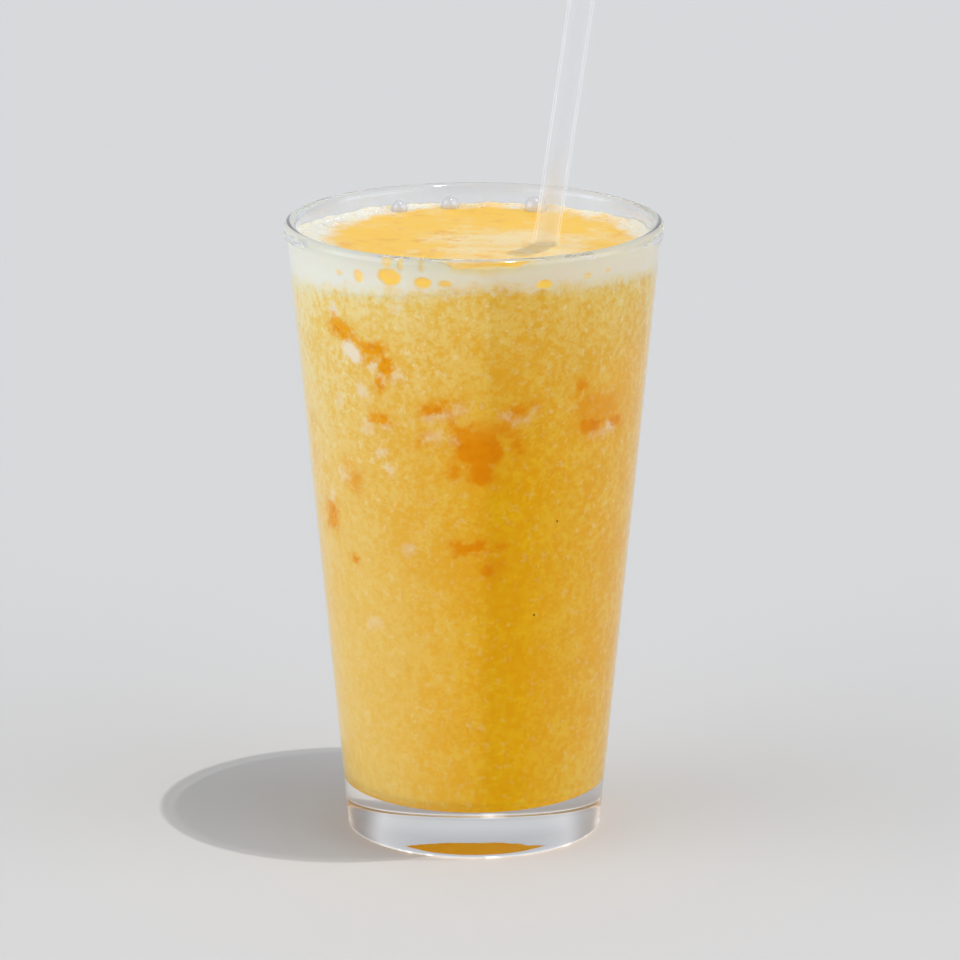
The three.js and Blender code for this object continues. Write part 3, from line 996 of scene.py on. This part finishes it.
def wet_froth():
    """Froth with clear windows at the wall, and a mottled top inside a pale ring of foam cells."""
    material, tree, surface, place = new_material("wet_froth")
    thin = total(attribute(tree, "below_top"), wander(place, 3 * MM, 0.5 * MM))
    side = blend_colours(fade(thin, 2.4 * MM, 0), pulp_colour(tree, place), FRONT_FILM)
    uneven = calculate("MULTIPLY_ADD", noise(place, 1.6 * MM, 2), 0.4, -0.2)
    window = total(attribute(tree, "window"), uneven)
    clear = times(fade(window, 1.2, 0.7), attribute(tree, "window_depth"))
    side = blend_colours(clear, side, WINDOW_JUICE)
    glow(surface, times(clear, attribute(tree, "side"), WINDOW_GLOW), WINDOW_JUICE)
    cells = {"Place": place, "Cell Size": FOAM_CELL}
    foam = follow("ShaderNodeGroup", cells, node_tree=FOAM_CELLS).outputs
    floating = fade(measure("DISTANCE", place, PALE_MIDDLE), PALE_REACH, 0, -0.1, 0.14)
    film = fade(total(noise(place, 13 * MM, 7, 0.72), floating), 0.38, 0.68)
    top = blend_colours(film, SURFACE_JUICE, SURFACE_FILM)
    deep = fade(noise(place, 5 * MM, 4, 0.6), 0.54, 0.70)
    top = blend_colours(times(deep, 0.7), top, SURFACE_DEEP)
    bays, tatters = wander(place, 6 * MM, 2.2 * MM), wander(place, 1.4 * MM, 0.8 * MM)
    in_ring = fade(total(attribute(tree, "past_ring"), bays, tatters), 3.6 * MM, -3.4 * MM)
    bubbly = calculate("MULTIPLY_ADD", foam["Cells"], 0.25, 0.75)
    top = blend_colours(times(in_ring, bubbly), top, RING_FROTH)
    on_top = calculate("SUBTRACT", 1.0, attribute(tree, "side"))
    height = times(foam["Height"], in_ring, on_top)
    bump = follow("ShaderNodeBump", {"Height": height, "Strength": 0.5, "Distance": 0.25 * MM})
    finish = {
        "Base Color": blend_colours(attribute(tree, "side"), top, side),
        "Roughness": 0.28,
        "IOR": 1.34,
        "Normal": bump.outputs[0],
        **DRINK_SOAK,
    }
    fill(surface.inputs, finish)
    return material


def froth():
    grid, wall_end = froth_skin()
    mesh = closed_skin("froth_head", grid)
    points = mesh_points(mesh)
    azimuth, height = azimuths(points), points[:, 2]
    inset = inner_radius(height) - np.hypot(points[:, 0], points[:, 1])
    reach, depth = window_reach(azimuth, height)
    from_front = 4 * MM * (1 - hump(azimuth, 4, 20))
    carry_pulp(mesh, azimuth, height)
    set_attributes(
        mesh,
        past_ring=inset - ring_width(azimuth),
        window=reach,
        window_depth=depth,
        below_top=collar_top(azimuth) - height + from_front,
        side=np.arange(len(points)) < 1 + (wall_end - 1) * FROTH_COLUMNS,
    )
    return new_object("froth_head", mesh, wet_froth())


# A thin haze of foam that clings to the inside of the wall above the drink

HAZE_LOW = 143.0 * MM
HAZE_HIGH = 147.9 * MM
HAZE_THICKNESS = 0.06 * MM
HAZE_REACH = 0.01 * MM  # how far it goes into the wall
HAZE_ROWS = 14
HAZE_COLUMNS = 360
HAZE_WHITE = paint(236, 232, 221)


def haze_thickness(azimuth, height):
    """How dense the haze is: none at the middle of the front, most at the sides, less high up."""
    share = np.clip((height - HAZE_LOW) / (HAZE_HIGH - HAZE_LOW), 0, 1)
    front, back = 1 - 0.95 * hump(azimuth, 7, 19), 1 - 0.35 * backness(azimuth) ** 2
    return front * back * (1 - share) ** 0.8


def foam_haze():
    material, tree, surface, place = new_material("foam_haze")
    streaks = calculate("MULTIPLY_ADD", noise(place, 5 * MM, 3, 0.5), 0.6, -0.3)
    cover = fade(total(attribute(tree, "density"), streaks), -0.1, 0.9, 0.0, 0.6)
    fill(surface.inputs, {"Base Color": HAZE_WHITE, "Roughness": 0.5, "Alpha": cover})
    return material


def haze():
    azimuth = np.linspace(0, 360, HAZE_COLUMNS, endpoint=False)
    heights = np.linspace(HAZE_LOW, HAZE_HIGH, HAZE_ROWS)
    rows = []
    for reach, levels in ((HAZE_REACH, heights), (HAZE_REACH - HAZE_THICKNESS, heights[::-1])):
        rows += [ring_points(inner_radius(height) + reach, azimuth, height) for height in levels]
    mesh = closed_band("froth_haze", np.stack(rows))
    points = mesh_points(mesh)
    set_attributes(mesh, density=haze_thickness(azimuths(points), points[:, 2]))
    return new_object("froth_haze", mesh, foam_haze())


# The straw

STRAW_EDGE_LIGHT = (0.86, 0.88, 0.92, 1)
STRAW_EDGE_GLOW = 0.4
STRAW_CLEAR = (0.97, 0.975, 0.985, 1)
STRAW_LAMPS = (0.4, 0.33, 0.2, 1)  # what one wall lets through of a lamp's light
STRAW_SEGMENTS = 64


def straw_plastic():
    """Clear plastic with a painted glow along its edges, where more of its wall is seen, that stands in for
    the highlights there.
    """
    material, tree, surface, _ = new_material("straw_plastic")
    facing_away = add(tree, "ShaderNodeLayerWeight", {"Blend": 0.5}).outputs["Facing"]
    glow(surface, fade(facing_away, 0.62, 0.92, 0.0, STRAW_EDGE_GLOW), STRAW_EDGE_LIGHT)
    finish = {
        "Base Color": STRAW_CLEAR,
        "Roughness": 0.0,
        "IOR": 1.02,
        "Transmission Weight": 0.94,
        "Coat Weight": 1.0,
        "Coat Roughness": 0.06,
        "Coat IOR": 1.5,
    }
    fill(surface.inputs, finish)
    let_lamps_through(surface, STRAW_LAMPS)
    return material


def straw_place():
    along = STRAW_LEAN.normalized()
    end = STRAW_LOWEST + math.hypot(along.x, along.y) * STRAW_RADIUS
    foot = STRAW_ENTRY + STRAW_LEAN * (end - DRINK_LEVEL)
    return Matrix.Translation(foot) @ Vector((0, 0, 1)).rotation_difference(along).to_matrix().to_4x4()


def straw():
    bore = STRAW_RADIUS - STRAW_WALL
    rounding = STRAW_WALL * 0.4
    heights = np.linspace(0, STRAW_LENGTH, 6)[1:-1]
    corners = [
        (bore, 0, rounding),
        (STRAW_RADIUS, 0, rounding),
        *[(STRAW_RADIUS, height, 0) for height in heights],
        (STRAW_RADIUS, STRAW_LENGTH, rounding),
        (bore, STRAW_LENGTH, rounding),
        *[(bore, height, 0) for height in heights[::-1]],
    ]
    made = turned("straw_tube", corners, STRAW_SEGMENTS, straw_plastic(), closed=True)
    made.data.transform(straw_place())
    return made


# Bubbles on the froth

# Large bubbles at the back and paler ones at the left: azimuth, distance in from the wall and radius (mm)
BUBBLES = [
    (207.6, 2.6, 2.0),
    (188.6, 2.7, 2.2),
    (157.3, 3.1, 2.6),
]
SIDE_BUBBLES = [
    (237.9, 2.9, 1.1),
    (240.9, 1.9, 1.2),
    (244.6, 2.6, 1.3),
    (249.7, 2.2, 1.0),
    (244.4, 5.0, 1.0),
]
BUBBLE_LIFT = 0.35  # share of its radius by which a bubble's middle stands above the drink
# Clusters of small bubbles: azimuth and its spread, distance in and its spread (mm), number
BUBBLE_CLUSTERS = [
    (214, 4, 2.0, 1.0, 26),
    (189, 5, 1.2, 0.4, 10),
    (180, 5, 1.6, 0.6, 10),
    (171, 5, 1.6, 0.6, 10),
    (242, 11, 3.6, 2.0, 16),
    (275, 14, 3.4, 1.8, 12),
    (305, 14, 2.2, 1.0, 8),
    (120, 22, 2.0, 0.9, 14),
    (75, 16, 1.8, 0.8, 10),
]
SMALL_BUBBLE = (0.14, 0.55)  # radii (mm)
# The films' colours are painted reflections of the surroundings: lilac grey on the large bubbles and white on
# the small ones
LARGE_FILM_REFLECTION = paint(216, 219, 231)
SMALL_FILM_REFLECTION = paint(250, 250, 246)


def bubble_tree():
    """Sets a round film on each point, with the radius that the point carries."""
    sizes = {"Segments": "Int", "Rings": "Int", "Material": "Material"}
    tree, given, result = geometry_tree("bubbles_on_points", sizes)
    ball = {"Segments": given["Segments"], "Rings": given["Rings"], "Radius": 1.0}
    sphere = follow("GeometryNodeMeshUVSphere", ball).outputs["Mesh"]
    place = add(tree, "GeometryNodeInputPosition").outputs[0]
    store = {"Geometry": sphere, "Name": "rise", "Value": coordinate(place, "Z")}
    marked = follow("GeometryNodeStoreNamedAttribute", store, data_type="FLOAT", domain="POINT")
    size = add(tree, "GeometryNodeInputNamedAttribute", {"Name": "bubble_radius"}, data_type="FLOAT")
    spots = follow("GeometryNodeMeshToPoints", {"Mesh": given["Geometry"]})
    setting = {"Points": spots.outputs[0], "Instance": marked.outputs[0], "Scale": size.outputs["Attribute"]}
    balls = follow("GeometryNodeInstanceOnPoints", setting)
    finish_tree(given, result, balls.outputs[0])
    return tree


def bubble_film(name, colour, top_cover, foot_cover):
    """A clear film that shows most near its foot, where it stands upright. Its colour is a painted reflection
    of the surroundings.
    """
    material, tree, surface, _ = new_material(name)
    finish = {
        "Base Color": colour,
        "Roughness": 0.06,
        "IOR": 1.5,
        "Alpha": fade(attribute(tree, "rise"), 0.95, 0.1, top_cover, foot_cover),
        "Coat Weight": 1.0,
        "Coat Roughness": 0.2,
        "Coat IOR": 1.8,
    }
    fill(surface.inputs, finish)
    return material


def bubbles_from(name, spots, segments, rings, tree, material):
    """Joined bubbles at these spots: azimuth, distance in from the wall and radius (mm)."""
    azimuth, inset, radius = np.array(spots).T * np.array([[1], [MM], [MM]])
    afloat = DRINK_LEVEL + BUBBLE_LIFT * radius
    level = np.where(radius > SMALL_BUBBLE[1] * MM, afloat, surface_height(azimuth, inset))
    points = bpy.data.meshes.new(name + "_spots")
    points.from_pydata(ring_points(inner_radius(DRINK_LEVEL) - inset, azimuth, level).tolist(), [], [])
    set_attributes(points, bubble_radius=radius)
    return grown(name, points, tree, {"Segments": segments, "Rings": rings}, material)


def small_bubble_spots():
    draw = np.random.default_rng(SEED + 2)
    spots = []
    for azimuth, spread, inset, depth, number in BUBBLE_CLUSTERS:
        for _ in range(number):
            small, large = SMALL_BUBBLE
            radius = small + (large - small) * draw.random() ** 2.5
            spots.append((draw.normal(azimuth, spread), max(draw.normal(inset, depth), 0.6), radius))
    return spots


# The stage

SUN_WAY = Vector((31.8, -12.8, 148.5)).normalized()
SUN_STRENGTH = 1.42
SUN_SPREAD = math.radians(0.6)
SUN_COLOUR = (1.0, 0.98, 0.945)
STUDIO_COLOUR = (0.92, 0.962, 1.025, 1)
FILL_ELEVATION = math.radians(20)
# Soft fills: azimuth and brightness, then the angles from its middle where each ends and where it is full
FILLS = [(-68, 1.8), (66, 1.68)]
FILL_REACH = (48, 8)
# Dark flags: azimuth and the share of light that they leave, then such angles
DARK_FLAGS = [(-118, 0.6), (118, 0.45)]
FLAG_REACH = (30, 12)
FLAG_RISE = 0.1
FLOOR_COLOURS = ((0.53, 0.524, 0.518, 1), (0.55, 0.544, 0.54, 1))
FLOOR_HALF = 6
FLOOR_DROP = 0.1 * MM  # how far it lies below the foot


def camera():
    data = bpy.data.cameras.new("camera")
    data.lens = VIEW_LENS
    data.sensor_width = VIEW_SENSOR
    data.clip_start = 0.05
    made = link("camera", data)
    made.location = VIEW_EYE
    made.rotation_euler = (math.pi / 2 - VIEW_ELEVATION, 0, 0)
    bpy.context.scene.camera = made


def facing(way, aim):
    """How nearly each way looks along an aim: 1 along it and 0 square to it."""
    return measure("DOT_PRODUCT", way, aim)


def patch(way, aim, reach, outside, middle):
    """A soft round patch of the surroundings, from its value outside it to that at its middle."""
    edge, full = (math.cos(math.radians(angle)) for angle in reach)
    return fade(facing(way, tuple(aim)), edge, full, outside, middle)


def soft_surroundings():
    """A pale studio, darker behind the viewer and beyond the glass, with a broad soft fill on each side."""
    world = bpy.data.worlds.new("studio")
    world.use_nodes = True
    tree = world.node_tree
    background = tree.nodes["Background"]
    way = add(tree, "ShaderNodeTexCoord").outputs["Generated"]
    sky = fade(facing(way, (0, 0, 1)), 0.05, 0.75, 0.825, 0.535)
    shade = fade(facing(way, (0, -1, 0)), 0.0, 0.9, 1.0, 0.55)
    beyond = fade(facing(way, (0, 0.97, 0.24)), 0.75, 0.97, 1.0, 0.8)
    light = times(sky, shade, beyond)
    for azimuth, brightness in FILLS:
        aim = ring_points(math.cos(FILL_ELEVATION), azimuth, math.sin(FILL_ELEVATION))
        light = total(light, patch(way, aim, FILL_REACH, 0, brightness))
    for azimuth, left in DARK_FLAGS:
        aim = ring_points(1, azimuth, FLAG_RISE)
        light = times(light, patch(way, aim, FLAG_REACH, 1, left))
    fill(background.inputs, {"Color": STUDIO_COLOUR, "Strength": light})
    bpy.context.scene.world = world


def sun():
    data = bpy.data.lights.new("sun", "SUN")
    data.energy = SUN_STRENGTH
    data.angle = SUN_SPREAD
    data.color = SUN_COLOUR
    made = link("sun", data)
    made.rotation_euler = (-SUN_WAY).to_track_quat("-Z", "Y").to_euler()


def floor():
    material, _, surface, place = new_material("pale_floor")
    colour = blend_colours(noise(place, 0.4, 2), *FLOOR_COLOURS)
    fill(surface.inputs, {"Base Color": colour, "Roughness": 0.8})
    ways = [(-1, -1), (1, -1), (1, 1), (-1, 1)]
    mesh = bpy.data.meshes.new("floor")
    mesh.from_pydata([(x * FLOOR_HALF, y * FLOOR_HALF, -FLOOR_DROP) for x, y in ways], [], [(0, 1, 2, 3)])
    new_object("floor", mesh, material)


def place_piece(piece, node):
    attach(piece, "root")
    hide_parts(node)


camera()
soft_surroundings()
sun()
floor()
place_piece(tumbler(), "tumbler")
place_piece(juice(), "juice")
place_piece(froth(), "froth")
place_piece(haze(), "froth")
bubble_shape = bubble_tree()
large_film = bubble_film("bubble_film", LARGE_FILM_REFLECTION, 0.35, 0.72)
small_film = bubble_film("small_bubble_film", SMALL_FILM_REFLECTION, 0.28, 0.08)
for name, spots, segments, rings, film in (
    ("froth_bubbles", BUBBLES, 40, 24, large_film),
    ("side_bubbles", SIDE_BUBBLES, 32, 18, small_film),
    ("small_bubbles", small_bubble_spots(), 8, 5, small_film),
):
    place_piece(bubbles_from(name, spots, segments, rings, bubble_shape, film), "froth")
place_piece(straw(), "straw")
bpy.context.scene.view_settings.view_transform = "Standard"
